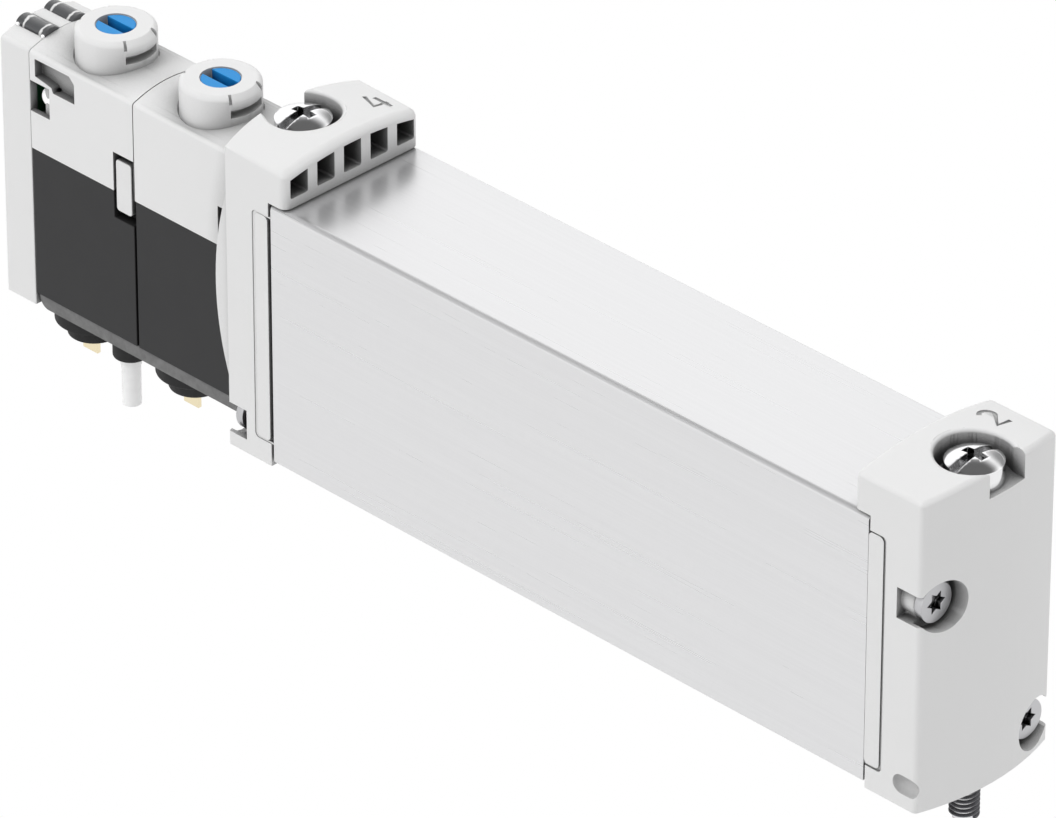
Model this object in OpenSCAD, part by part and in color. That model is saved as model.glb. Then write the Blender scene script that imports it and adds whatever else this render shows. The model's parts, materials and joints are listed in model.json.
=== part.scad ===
// Pneumatic solenoid valve for a sub-base, 18 mm wide, with two pilot valves side by side on one end.
// The mounting face of the end caps is z = 0, the spool runs along x, and y = 0 is the middle plane.
// Cap 2 is at the +x end, cap 4 at the -x end, and the two pilots follow beyond cap 4.

/* [Valve body] */
// Width over the end caps
valve_w = 18; // [17.5:0.5:20]
// Length of the folded metal jacket
jacket_l = 78.3; // [74:0.5:90]
// Height of the jacket's top
jacket_top = 29.45; // [29:0.05:31]
// Height of the jacket's lower edge
jacket_lift = 0.6; // [0.4:0.1:1]
// Thickness of the jacket's sheet
jacket_t = 0.5; // [0.3:0.1:0.8]
// Outside radius of the jacket's folds
jacket_fold = 0.6; // [0.5:0.1:1]
// Step from the side of the caps back to the jacket
jacket_inset = 0.05; // [0:0.05:0.2]
// Reach of the housing past the jacket under cap 2
tab_2 = 1.9; // [1.5:0.1:2.5]
// Reach of the housing past the jacket under cap 4
tab_4 = 2.15; // [1.5:0.05:2.5]
// Open line between the jacket and the strip at cap 2
tab_line_2 = 0.05; // [0.05:0.05:0.5]
// Open line between the jacket and the strip at cap 4
tab_line_4 = 0.45; // [0.05:0.05:0.5]
// Lower end of the housing's end plate
tab_bottom = 2.7; // [2:0.1:3.5]
// Upper end of the housing's end plate
tab_top = 27.9; // [27:0.1:28.4]

/* [Spool] */
// Height of the spool's axis
spool_z = 15; // [14.5:0.1:15.5]
// Diameter of the bore that holds the seals and spacers
bore_d = 11; // [10.6:0.1:11.4]
// Diameter of the spool's lands
land_d = 8; // [7.6:0.1:8.2]
// Diameter of the spool's waists
waist_d = 5; // [4.6:0.1:5.6]
// Travel of the spool
stroke = 3; // [2.5:0.1:3.2]
// Length of one spool seal
seal_l = 3.2; // [2.8:0.1:3.6]
// Diameter of the piston chambers
chamber_d = 14; // [13.6:0.1:14.4]
// Thickness of a piston
piston_t = 4; // [3.6:0.1:4.2]
// Width of a port in the underside, along the valve
port_w = 3.6; // [3:0.1:3.8]
// Length of a port, across the valve
port_l = 8; // [7:0.5:9]
// Diameter of the two pilot ports in the underside
pilot_port_d = 2; // [1.6:0.1:2.4]

/* [End caps] */
// Length of cap 2 past the jacket, at its sides
cap_2_l = 6.5; // [6.2:0.1:8]
// Length of cap 4 past the jacket, at its sides
cap_4_l = 6.15; // [6:0.05:8]
// Bulge of the end face of cap 2 in plan
crown_2 = 1.55; // [1:0.05:2]
// Bulge of the end face of cap 4 in plan
crown_4 = 1.2; // [1:0.05:2]
// Height of the caps in the middle
cap_top = 34.55; // [34:0.05:36]
// Drop of the arched cap top at its sides
cap_arch = 1.05; // [0.6:0.05:1.5]
// Radius of the edges of cap 2
cap_round = 0.6; // [0.4:0.1:0.8]
// Radius of the end face's edges on cap 4
crisp_round = 0.15; // [0.1:0.05:0.4]
// Overlap of cap 2 on the jacket's top
rim_2 = 1.75; // [1.5:0.05:2.5]
// Overlap of cap 4 on the jacket's top
hood_4 = 2.15; // [2:0.05:2.8]
// Radius of the hood's edges on cap 4
hood_round = 0.9; // [0.5:0.1:1]
// Thickness of the gasket between a cap and the housing
cap_gasket_t = 0.35; // [0.2:0.05:0.5]
// Number of blind windows in the hood of cap 4
window_n = 5; // [3:2:5]
// Distance between the windows
window_pitch = 3.55; // [3.2:0.05:3.6]
// Width of one window
window_w = 2.3; // [1.8:0.1:2.6]
// Depth of the windows
window_depth = 2.5; // [1.5:0.1:2.8]

/* [Screws] */
// Distance from the jacket's end to a hold-down screw
hold_u = 4.6; // [4.5:0.05:4.9]
// Diameter of the hold-down screws' thread
hold_d = 3; // [2.5:0.5:3]
// Diameter of the hold-down screws' head
hold_head_d = 5.7; // [5.4:0.1:6]
// Height of the hold-down screws' head
hold_head_h = 2.75; // [2.2:0.05:2.8]
// Height of the seat under a hold-down screw's head
hold_seat = 31.55; // [31:0.05:32]
// Diameter of the head's counterbore
hold_pocket_d = 7.5; // [7:0.1:7.8]
// Reach of a hold-down screw below the mounting face
hold_reach = 5.4; // [4:0.1:8]
// Diameter of the end screws' shank
end_d = 2.5; // [2:0.1:2.6]
// Diameter of the end screws' head
end_head_d = 4.1; // [3.8:0.1:4.4]
// Height of the end screws' head
end_head_h = 0.9; // [0.7:0.1:1.2]
// Diameter of the pockets for the end screws' heads
end_pocket_d = 5.4; // [5:0.1:5.6]
// Depth of a head's face below the cap's end face
end_sink = 1; // [0.8:0.1:1.4]

/* [Pilot valves] */
// Width of the pilots
pilot_w = 10; // [9:0.2:11]
// Distance between the two pilots
pilot_pitch = 14.83; // [14:0.05:16]
// Face of cap 4's adapter that carries the pilots, from the jacket's end
pilot_face = 8.59; // [8:0.05:10]
// Height of the pilots in the middle
pilot_top = 30.4; // [29.8:0.1:31]
// Drop of the arched pilot top at its sides
pilot_arch = 1; // [0.6:0.1:1.2]
// Radius of the edge between the pilots' side and top
pilot_round = 0.5; // [0.3:0.1:0.8]
// Height of the line between the coil casing and the pilot housing
border_z = 18.5; // [17.5:0.1:19]
// Underside of the coil casings
coil_bottom = 1.8; // [1.6:0.1:2.4]
// Diameter of the armature and core
armature_d = 4.2; // [3.8:0.1:4.6]
// Travel of an armature
armature_stroke = 0.5; // [0.3:0.1:0.7]
// Thickness of the pilots' end cover
cover_t = 4.15; // [3.5:0.05:5]
// Underside of the strip below the coils
strip_bottom = 0.3; // [0.1:0.1:0.6]

/* [Manual override] */
// Diameter of the collar round the override
collar_d = 8.2; // [7.6:0.1:8.6]
// Top of the collar
collar_top = 33.4; // [32.6:0.1:34]
// Height of the seat under the collar
collar_seat = 29.6; // [29.2:0.1:29.7]
// Diameter of the blue knob
knob_d = 4; // [3.6:0.1:4.4]
// Travel of the override when it is pressed
press = 0.8; // [0.5:0.1:0.9]
// Width of the knob's slot
knob_slot = 1.2; // [1:0.1:1.4]

/* [Hidden] */

white = [0.89, 0.89, 0.89];
steel = [0.86, 0.86, 0.88];
dark = [0.22, 0.22, 0.23];
rubber = [0.12, 0.12, 0.12];
copper = [0.72, 0.45, 0.2];
$fn = 64;

// Free space between pieces that slip together
fit = 0.05;
// Free space all round a rotating or sliding piece
run = 0.05;
// Tiny length by which a cut passes the face that it opens
cut = 1;

hw = valve_w / 2;
jx = jacket_l / 2;
phw = pilot_w / 2;

// Housing that fills the jacket
core_w = valve_w - 2 * (jacket_inset + jacket_t + fit);
core_top = jacket_top - jacket_t - fit;
tab_round = 0.5;

// The seals and spacers fill the bore between the two piston chambers
piston_rest = 0.3;
chamber_l = piston_t + stroke + 2 * piston_rest;
stack_x = jx + tab_2 - chamber_l;
spacer_l = (2 * stack_x - 6 * seal_l) / 5;
seal_pitch = seal_l + spacer_l;
ring_d = bore_d - 2 * run;
spigot_d = 4;
spigot_l = 2.5;

// Pistons with a groove and a dished end, and their lip seals
piston_d = chamber_d - 0.6;
groove_d = chamber_d - 3.6;
groove_w = 1.8;
piston_dish_d = 6;
piston_dish = 0.8;
piston_foot = 1;
piston_lip = 0.45;

// Recess in the underside and the gasket that fills it, down to the mounting face
gasket_edge = 0.75;
gasket_x = jx - gasket_edge;
gasket_w = core_w - 2;
gasket_depth = 0.6;
gasket_round = 1;
pilot_port_x = jx - 2.5;

// The two screws that hold each cap on the housing: y and z in the cap's own frame
end_y = hw - 2.5;
end_high = 21.9;
end_y_low = hw - 2.6;
end_low = 3.15;
end_grip = 6;
end_notch_u = 3.7;
end_notch_h = 3.3;

// Steps of the caps round the housing's end plate
cap_step = 0.25;
cap_lip_gap = 0.2;
rim_gap = 0.2;
notch_w = 3.3;
side_groove_r = 1.05;
side_groove_z = end_low - 0.65;

// Cheeks of cap 4 beside the pilots, and the adapter between them
cheek_in = 5.1;
cheek_out = 8.4;
cheek_bulge = 2.2;
cheek_low = 5.7;
cheek_high = 29.3;
adapter_low = coil_bottom + 0.2;
adapter_high = pilot_top - 1.2;
adapter_w = pilot_w - 0.2;

// Blind windows in the hood of cap 4
window_sill = 1.25;
window_lintel = 0.9;
window_corner = 0.2;

// Pilots: x of each pilot's middle, and what is inside
function pilot_x(i) = -jx - pilot_face - pilot_pitch * (i + 0.5);
pilot_a = 1;
pilot_b = 0;
cover_x = pilot_x(pilot_a) - pilot_pitch / 2;
// Shift of the armatures and overrides from the middle of their pilots
axis_dx = -0.13;
seam = 0.05;
coil_seam = 0.15;
winding_d = 8.6;
winding_low = coil_bottom + 1.3;
winding_high = border_z - 1.1;
core_h = 8.7;
core_face = coil_bottom + core_h;
armature_low = core_face + armature_stroke;
armature_h = 9.8;
armature_high = armature_low + armature_h;
armature_room = armature_high + 1.2;
spring_pocket_d = 2.9;
core_pocket = 2;
armature_pocket = 3;
spring_wire = 0.35;

// Side openings that a latch clip stands in, at the right end of a pilot
clip_x0 = 4.45;
clip_x1 = 7.35;
clip_low = 15.5;
clip_high = 22.9;
clip_depth = 1.3;

// Recess in the outer pilot's side, and the opening with its post beside the end cover
recess_x0 = -6.6;
recess_x1 = -0.95;
recess_step_x = -4.05;
recess_top = 28.85;
recess_ledge = 26.9;
recess_low = 25.97;
recess_depth = 1;
recess_corner = 0.7;
opening_low = 22.75;
opening_high = 26.2;
opening_x = 2.75;
opening_wall = 0.6;
post_d = 1.6;

// End cover, light windows and circuit board
cover_wall = 1;
cover_low = strip_bottom + 0.05;
board_low = 2;
board_high = 28;
board_t = 1;
window_y = 1.85;
window_bar_w = 2;
window_seat = 29.2;
window_shoulder = 30.35;
window_dome = 0.45;

// Manual override, from the knob down
knob_bottom = 30.5;
knob_sink = 0.1;
flange_t = 0.5;
stem_d = 2;
stem_tip = armature_high + press + 0.2;
spring_floor = 25.4;
override_bore = knob_d + 0.15;
collar_slot_low = 31;
collar_slot_high = 31.87;
collar_sector = 60;

// Contacts, seals and pin below the strip
seal_a_dx = -4.35;
seal_b_dx = -4.52;
pin_dx = 0.9;
seal_d = 8;
seal_h = 2;
boot_d = 5.5;
boot_h = 1.7;
blade_w = 2.1;
blade_t = 0.44;
blade_dx = -0.52;
blade_reach = 5.9;
blade_root = 1.5;
pin_d = 2.2;
pin_reach = 9.6;
pin_boot_d = 3.7;
pin_boot_h = 4.3;
strip_x0 = cover_x + 0.4;
strip_x1 = -jx - pilot_face - 0.96;
strip_round = 1.2;

// Height that a circular arc of sagitta s over the half width w has lost at distance y
function arc_r(s, w) = (w * w + s * s) / (2 * s);
function arc_drop(s, w, y) = arc_r(s, w) - sqrt(pow(arc_r(s, w), 2) - y * y);

// Rectangle with four round corners
module round_rect(x0, x1, y0, y1, r) {
    translate([x0 + r, y0]) square([x1 - x0 - 2 * r, y1 - y0]);
    translate([x0, y0 + r]) square([x1 - x0, y1 - y0 - 2 * r]);
    for (x = [x0 + r, x1 - r]) for (y = [y0 + r, y1 - r]) translate([x, y]) circle(r);
}

// Slot with half-round ends along y
module stadium(w, l) {
    square([w, l - w], center = true);
    for (s = [-1, 1]) translate([0, s * (l - w) / 2]) circle(d = w);
}

// Outline in the y-z plane, with an arched top and round shoulders
module arched(w, z0, top, drop, r) {
    zc = top - arc_drop(drop, w, w - r) - r;
    translate([-w, z0]) square([2 * w, zc - z0]);
    for (s = [-1, 1]) translate([s * (w - r), zc]) circle(r);
    intersection() {
        translate([-(w - r), z0]) square([2 * (w - r), top - z0]);
        translate([0, top - arc_r(drop, w)]) circle(arc_r(drop, w), $fn = 360);
    }
}

// Turns an outline drawn in y-z into a solid along x, from x0 to x1
module along_x(x0, x1) {
    translate([x0, 0, 0]) rotate([90, 0, 90]) linear_extrude(x1 - x0) children();
}

// Turns an outline drawn in x-z into a solid along y, from y0 to y1
module along_y(y0, y1) {
    translate([0, y1, 0]) rotate([90, 0, 0]) linear_extrude(y1 - y0) children();
}

module rod_x(d, x0, x1) {
    translate([x0, 0, 0]) rotate([0, 90, 0]) cylinder(d = d, h = x1 - x0);
}

module rod_z(d, z0, z1) {
    translate([0, 0, z0]) cylinder(d = d, h = z1 - z0);
}

// Frame of a cap: x outward from the jacket's end
module at_end(side) {
    rotate([0, 0, side < 0 ? 180 : 0]) translate([jx, 0, 0]) children();
}

// Helical compression spring standing on z = 0
module coil_spring(d, wire, h, turns) {
    steps = 14;
    sides = 6;
    n = turns * steps;
    r = (d - wire) / 2;
    points = [for (i = [0:n]) for (k = [0:sides - 1])
        let (a = 360 * i / steps, b = 360 * k / sides, q = r + wire / 2 * cos(b))
        [q * cos(a), q * sin(a), wire / 2 + (h - wire) * i / n + wire / 2 * sin(b)]];
    walls = [for (i = [0:n - 1]) for (k = [0:sides - 1])
        let (k2 = (k + 1) % sides)
        [i * sides + k, i * sides + k2, (i + 1) * sides + k2, (i + 1) * sides + k]];
    ends = [[for (k = [0:sides - 1]) sides - 1 - k], [for (k = [0:sides - 1]) n * sides + k]];
    polyhedron(points, concat(walls, ends), convexity = 8);
}

// Valve body

module body_jacket() {
    w = hw - jacket_inset;
    color(steel) difference() {
        along_x(-jx, jx) union() {
            round_rect(-w, w, jacket_top - 4 * jacket_fold, jacket_top, jacket_fold);
            translate([-w, jacket_lift]) square([2 * w, jacket_top - jacket_lift - 2 * jacket_fold]);
        }
        along_x(-jx - cut, jx + cut) translate([-w + jacket_t, jacket_lift - cut])
            square([2 * (w - jacket_t), jacket_top - jacket_t - jacket_lift + cut]);
    }
}

module end_plate(reach, line) {
    along_y(-core_w / 2, core_w / 2)
        round_rect(-tab_round * 2, reach, tab_bottom, tab_top, tab_round);
    along_y(-hw + fit, hw - fit) round_rect(line, reach, tab_bottom, tab_top, tab_round);
}

module ports(z0, z1) {
    for (i = [-2:2]) translate([i * seal_pitch, 0, z0]) linear_extrude(z1 - z0)
        stadium(port_w, port_l);
}

module pilot_ports(z0, z1) {
    for (s = [-1, 1]) translate([s * pilot_port_x, 0, 0]) rod_z(pilot_port_d, z0, z1);
}

module spool_housing() {
    color(white) difference() {
        union() {
            translate([-jx, -core_w / 2, jacket_lift])
                cube([jacket_l, core_w, core_top - jacket_lift]);
            at_end(1) end_plate(tab_2, tab_line_2);
            at_end(-1) end_plate(tab_4, tab_line_4);
        }
        translate([0, 0, spool_z]) rod_x(bore_d, -jx - tab_4 - cut, jx + tab_2 + cut);
        for (s = [-1, 1]) translate([0, 0, spool_z]) scale([s, 1, 1])
            rod_x(chamber_d, stack_x, jx + tab_4 + cut);
        ports(jacket_lift - cut, spool_z);
        pilot_ports(jacket_lift - cut, spool_z);
        translate([-gasket_x, -gasket_w / 2, jacket_lift - cut])
            cube([2 * gasket_x, gasket_w, gasket_depth + cut]);
        for (s = [-1, 1]) at_end(s) end_screw_lines(end_d + 2 * fit, -end_grip - fit, tab_4 + cut);
    }
}

module end_screw_lines(d, u0, u1) {
    translate([0, -end_y, end_high]) rod_x(d, u0, u1);
    translate([0, end_y_low, end_low]) rod_x(d, u0, u1);
}

module base_gasket() {
    high = jacket_lift + gasket_depth;
    x = gasket_x - fit;
    y = gasket_w / 2 - fit;
    color(rubber) difference() {
        linear_extrude(high) round_rect(-x, x, -y, y, gasket_round);
        ports(-cut, high + cut);
        pilot_ports(-cut, high + cut);
    }
}

// Seals and spacers in the bore, counted from the -x end

module spacer(i) {
    color(white) translate([(i - 3) * seal_pitch, 0, spool_z]) difference() {
        rod_x(ring_d, -spacer_l / 2, spacer_l / 2);
        rod_x(land_d + 0.4, -spacer_l, spacer_l);
        for (a = [0, 90]) rotate([a, 0, 0]) translate([0, 0, -bore_d]) rod_z(4.4, 0, 2 * bore_d);
    }
}

module spool_seal(i) {
    lip = 0.4;
    in_r = land_d / 2 + run;
    color(rubber) translate([(i - 3.5) * seal_pitch, 0, spool_z]) rotate([0, 90, 0])
        rotate_extrude() union() {
            translate([in_r + 2 * lip, -seal_l / 2]) square([ring_d / 2 - in_r - 2 * lip, seal_l]);
            translate([in_r + lip, -lip]) square([2 * lip, 2 * lip]);
            translate([in_r + lip, 0]) circle(lip);
        }
}

module spool() {
    x0 = -stack_x - piston_rest - stroke;
    x1 = stack_x + piston_rest;
    edge = stroke / 2;
    color("gainsboro") translate([0, 0, spool_z]) difference() {
        rod_x(land_d, x0 - spigot_l, x1 + spigot_l);
        for (s = [-1, 1]) waist((s - 0.5) * seal_pitch - edge, (s + 0.5) * seal_pitch - edge);
        for (x = [x0 - spigot_l - cut, x1]) difference() {
            rod_x(land_d + cut, x, x + spigot_l + cut);
            rod_x(spigot_d, x - cut, x + spigot_l + 2 * cut);
        }
    }
}

// Ring that is cut away between two lands, with sloping edges
module waist(x0, x1) {
    r0 = waist_d / 2;
    r1 = land_d / 2 + cut;
    rotate([0, 90, 0]) rotate_extrude() polygon([[r0, x0 + cut], [r0, x1 - cut], [r1, x1], [r1, x0]]);
}

module piston_at(side) {
    x = side > 0 ? stack_x + piston_rest : stack_x + piston_rest + stroke;
    translate([0, 0, spool_z]) rotate([0, 0, side < 0 ? 180 : 0]) translate([x, 0, 0]) children();
}

module piston(side) {
    color(white) piston_at(side) difference() {
        union() {
            rod_x(piston_d, 0, piston_t / 2 - groove_w / 2);
            rod_x(groove_d, 0, piston_t);
            rod_x(piston_d, piston_t / 2 + groove_w / 2, piston_t);
        }
        rod_x(spigot_d + 2 * fit, -cut, spigot_l + fit);
        rod_x(piston_dish_d, piston_t - piston_dish, piston_t + cut);
    }
}

module piston_seal(side) {
    r_in = groove_d / 2 + fit;
    r_out = chamber_d / 2 - run;
    foot_w = groove_w - 2 * fit;
    web_r = r_in + piston_foot - fit;
    color(rubber) piston_at(side) translate([piston_t / 2, 0, 0]) rotate([0, 90, 0])
        rotate_extrude() union() {
            translate([r_in, -foot_w / 2]) square([piston_foot, foot_w]);
            translate([web_r, -piston_lip]) square([r_out - piston_lip - web_r, 2 * piston_lip]);
            translate([r_out - piston_lip, 0]) circle(piston_lip);
        }
}

// End caps

// Rounded block with an arched top and an end face that bulges in plan. The edges of the overlap
// have the radius r_in, those of the end face r_out.
module cap_block(l, crown, over, r_in, r_out) {
    stations = 6;
    hull() {
        for (i = [-stations:stations]) {
            y = (hw - r_out) * i / stations;
            u = l + crown - arc_drop(crown, hw, y) - r_out;
            z = cap_top - arc_drop(cap_arch, hw, y) - r_out;
            yi = (hw - r_in) * i / stations;
            translate([u, y, 0]) cylinder(r = r_out, h = cut, $fn = 32);
            translate([u, y, z]) sphere(r_out, $fn = 24);
            translate([r_in - over, yi, cap_top - arc_drop(cap_arch, hw, yi) - r_in])
                sphere(r_in, $fn = 24);
        }
        for (s = [-1, 1]) translate([r_in - over, s * (hw - r_in), jacket_top - cut])
            cylinder(r = r_in, h = cut, $fn = 32);
        translate([0, -hw, 0]) cube([cut, valve_w, cut]);
    }
}

// What both caps have cut out: the step round the jacket, the end plate's recess and the screws
module cap_cuts(l, crown, over, reach) {
    seat = jacket_top + rim_gap;
    back = reach + cap_gasket_t;
    translate([-over - cut, -hw - cut, -cut]) cube([over + cut + cap_step, valve_w + 2 * cut, seat + cut]);
    along_y(-hw - cut, hw + cut)
        round_rect(-4 * cut, back, tab_bottom - cap_lip_gap, tab_top + cap_lip_gap, tab_round);
    translate([hold_u, 0, 0]) {
        rod_z(hold_d + 0.3, -cut, cap_top);
        rod_z(hold_pocket_d, hold_seat, cap_top + cut);
        translate([0, 0, hold_seat]) cube([l, notch_w, cap_top]);
    }
    end_screw_lines(end_d + 0.2, -cut, l);
    end_pocket(l, crown, -end_y, end_high);
    end_pocket(l, crown, end_y_low, end_low);
}

// Rounded groove low in the side of cap 2
module side_groove() {
    u1 = cap_2_l - cap_round;
    translate([0, -hw - 0.25, side_groove_z]) {
        rod_x(2 * side_groove_r, end_notch_u + side_groove_r, u1);
        for (u = [end_notch_u + side_groove_r, u1]) translate([u, 0, 0]) sphere(side_groove_r);
    }
}

// Seat of an end screw's head, from the jacket's end
function end_seat(l, crown, y) = l + crown - arc_drop(crown, hw, y) - end_sink - end_head_h;

// Room for an end screw's head, and the notch that opens it to the cap's side
module end_pocket(l, crown, y, z) {
    out = l + crown + cheek_bulge;
    translate([0, y, z]) {
        rod_x(end_pocket_d, end_seat(l, crown, y), out);
        translate([end_notch_u, y < 0 ? -hw : 0, -end_notch_h / 2]) cube([out, hw, end_notch_h]);
    }
}

module cap_2() {
    color(white) at_end(1) difference() {
        cap_block(cap_2_l, crown_2, rim_2, cap_round, cap_round);
        cap_cuts(cap_2_l, crown_2, rim_2, tab_2);
        side_groove();
    }
}

module cheek() {
    w = (cheek_high - cheek_low) / 2;
    r = arc_r(cheek_bulge, w);
    intersection() {
        translate([cap_4_l + cheek_bulge - r, 0, (cheek_high + cheek_low) / 2])
            rotate([90, 0, 0]) cylinder(r = r, h = valve_w, center = true, $fn = 180);
        for (s = [-1, 1]) translate([cap_4_l - cut, s > 0 ? cheek_in : -cheek_out, cheek_low])
            cube([cheek_bulge + 2 * cut, cheek_out - cheek_in, 2 * w]);
    }
}

module cap_4() {
    color(white) at_end(-1) difference() {
        union() {
            cap_block(cap_4_l, crown_4, hood_4, hood_round, crisp_round);
            cheek();
            translate([cap_4_l - cut, -adapter_w / 2, adapter_low])
                cube([pilot_face - cap_4_l + cut, adapter_w, adapter_high - adapter_low]);
        }
        cap_cuts(cap_4_l, crown_4, hood_4, tab_4);
        hood_windows();
    }
}

// Blind windows whose tops follow the arch of the cap
module hood_windows() {
    along_x(-hood_4 - cut, -hood_4 + window_depth) intersection() {
        for (i = [0:window_n - 1]) translate([(i - (window_n - 1) / 2) * window_pitch, 0])
            round_rect(-window_w / 2, window_w / 2, jacket_top + window_sill, cap_top, window_corner);
        arched(hw, jacket_top, cap_top - window_lintel, cap_arch, cap_round);
    }
}

module cap_gasket(side) {
    reach = side > 0 ? tab_2 : tab_4;
    edge = 0.4;
    color(rubber) at_end(side) difference() {
        along_x(reach, reach + cap_gasket_t)
            round_rect(-hw + edge, hw - edge, tab_bottom + edge, tab_top - edge, tab_round);
        translate([0, 0, spool_z]) rod_x(chamber_d - 3, reach - cut, reach + cut);
        end_screw_lines(end_d + 0.3, reach - cut, reach + cut);
    }
}

// Screws

module captive_screw(side) {
    relief = 0.6;
    tip = 0.4;
    dome = 0.7;
    slot = 0.9;
    slot_depth = 1.1;
    cross_l = 2.5;
    cross_depth = 1.3;
    dome_r = arc_r(dome, hold_head_d / 2);
    top = hold_seat + fit + hold_head_h;
    color(steel) at_end(side) translate([hold_u, 0, 0]) difference() {
        union() {
            intersection() {
                rod_z(hold_head_d, hold_seat + fit, top);
                translate([0, 0, top - dome_r]) sphere(dome_r, $fn = 120);
            }
            rod_z(hold_d - relief, 0, hold_seat + 2 * fit);
            rod_z(hold_d, -hold_reach + tip, 0);
            translate([0, 0, -hold_reach]) cylinder(d1 = hold_d - 2 * tip, d2 = hold_d, h = tip);
        }
        translate([-slot / 2, -hold_head_d, top - slot_depth])
            cube([slot, 2 * hold_head_d, slot_depth + cut]);
        translate([-cross_l / 2, -slot / 2, top - cross_depth])
            cube([cross_l, slot, cross_depth + cut]);
    }
}

module end_screw(l, crown, y, z) {
    seat = end_seat(l, crown, y) + fit;
    drive = 2.4;
    drive_depth = 0.7;
    translate([0, y, z]) difference() {
        union() {
            rod_x(end_head_d, seat, seat + end_head_h);
            rod_x(end_d, -end_grip, seat + fit);
        }
        translate([seat + end_head_h - drive_depth, 0, 0]) rotate([0, 90, 0]) for (a = [30, 90])
            rotate([0, 0, a]) cylinder(d = drive, h = cut, $fn = 3);
    }
}

module end_screws(l, crown) {
    end_screw(l, crown, -end_y, end_high);
    end_screw(l, crown, end_y_low, end_low);
}

// Pilot valves

module at_pilot(i) {
    translate([pilot_x(i), 0, 0]) children();
}

// Axis of a pilot's armature and override
module at_axis(i) {
    translate([pilot_x(i) + axis_dx, 0, 0]) children();
}

module clip_openings(extra) {
    for (s = [-1, 1]) translate([clip_x0, s > 0 ? phw - clip_depth : -phw - cut, clip_low])
        cube([clip_x1 - clip_x0 + extra, clip_depth + cut, clip_high - clip_low]);
}

module pilot_housing(i) {
    half = pilot_pitch / 2 - seam;
    color(white) difference() {
        at_pilot(i) along_x(-half, half) arched(phw, border_z, pilot_top, pilot_arch, pilot_round);
        at_axis(i) {
            rod_z(armature_d + 0.2, border_z - cut, armature_room);
            rod_z(stem_d + 0.2, armature_room - cut, spring_floor + cut);
            rod_z(override_bore, spring_floor, pilot_top + cut);
            rod_z(collar_d + 0.3, collar_seat, pilot_top + cut);
        }
        at_pilot(i) clip_openings(i == pilot_a ? 0 : cut);
        if (i == pilot_a) at_pilot(i) {
            wiring_recess();
            post_opening(-half);
        }
    }
}

// Stepped recess in the outer pilot's side
module wiring_recess() {
    along_y(-phw - cut, -phw + recess_depth) polygon([
        [recess_x0, recess_top], [recess_x1 - recess_corner, recess_top],
        [recess_x1, recess_top - recess_corner], [recess_x1, recess_low],
        [recess_step_x, recess_low], [recess_step_x - 0.2, recess_ledge - 0.4],
        [recess_x0, recess_ledge]]);
}

// Opening beside the end cover, wider behind the wall, with a round post in it
module post_opening(x0) {
    room = 0.8;
    inner = opening_wall + 2.4;
    difference() {
        union() {
            translate([x0 - cut, -phw - cut, opening_low])
                cube([opening_x + cut, cut + inner, opening_high - opening_low]);
            translate([x0 - cut, -phw + opening_wall, opening_low - room])
                cube([opening_x + room + cut, inner - opening_wall, opening_high - opening_low + room]);
        }
        translate([x0 + opening_x - post_d / 2 - 0.1, -phw + opening_wall + post_d / 2, 0])
            rod_z(post_d, opening_low - 2 * room, opening_high + room);
    }
}

module coil_casing(i) {
    half = pilot_pitch / 2 - coil_seam;
    color(dark) difference() {
        at_pilot(i) translate([-half, -phw, coil_bottom]) cube([2 * half, pilot_w, border_z - coil_bottom]);
        at_axis(i) rod_z(winding_d + 2 * fit, winding_low - fit, winding_high + fit);
        at_axis(i) rod_z(armature_d + 0.2, coil_bottom - cut, border_z + cut);
        at_pilot(i) clip_openings(cut);
    }
}

// Bobbin with its winding
module coil_winding(i) {
    r0 = armature_d / 2 + 0.2;
    r1 = winding_d / 2;
    flange = 0.8;
    color(copper) at_axis(i) rotate_extrude() union() {
        translate([r0, winding_low]) square([r1 - r0, flange]);
        translate([r0, winding_high - flange]) square([r1 - r0, flange]);
        translate([r0, winding_low]) square([r1 - 0.3 - r0, winding_high - winding_low]);
    }
}

module coil_core(i) {
    color(steel) at_axis(i) difference() {
        rod_z(armature_d, coil_bottom, core_face);
        rod_z(spring_pocket_d, core_face - core_pocket, core_face + cut);
    }
}

module armature(i) {
    color(steel) at_axis(i) difference() {
        rod_z(armature_d, armature_low, armature_high);
        rod_z(spring_pocket_d, armature_low - cut, armature_low + armature_pocket);
        for (s = [-1, 1]) translate([s * armature_d / 2, 0, armature_low + 4.5])
            cube([0.6, armature_d, 2 * armature_h], center = true);
        translate([0, 0, armature_high - 0.4]) difference() {
            rod_z(armature_d + cut, 0, cut);
            rod_z(armature_d - 1, -cut, 2 * cut);
        }
    }
}

module armature_spring(i) {
    color(steel) at_axis(i) translate([0, 0, core_face - core_pocket])
        coil_spring(spring_pocket_d - 0.3, spring_wire, core_pocket + armature_stroke + armature_pocket, 5);
}

module override_collar(i) {
    r = collar_d / 2;
    edge = 0.6;
    color(white) at_axis(i) difference() {
        rotate_extrude() difference() {
            union() {
                translate([0, collar_seat]) square([r, collar_top - collar_seat - edge]);
                translate([0, collar_seat]) square([r - edge, collar_top - collar_seat]);
                translate([r - edge, collar_top - edge]) circle(edge);
            }
            translate([-r, collar_seat - cut]) square([r + override_bore / 2, 2 * r]);
        }
        for (a = [0, 180]) rotate([0, 0, a - collar_sector / 2]) {
            rotate_extrude(angle = collar_sector) translate([r - 1.2, collar_slot_low])
                square([2, collar_slot_high - collar_slot_low]);
            rotate_extrude(angle = collar_sector) polygon([[r - 0.55, collar_top + 0.1],
                [r + 0.2, collar_top + 0.1], [r + 0.2, collar_top - 0.95]]);
            for (b = [0, collar_sector]) rotate([0, 0, b]) translate([r - 0.55, -0.15, collar_top - 0.9])
                cube([cut, 0.3, cut]);
        }
    }
}

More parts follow.
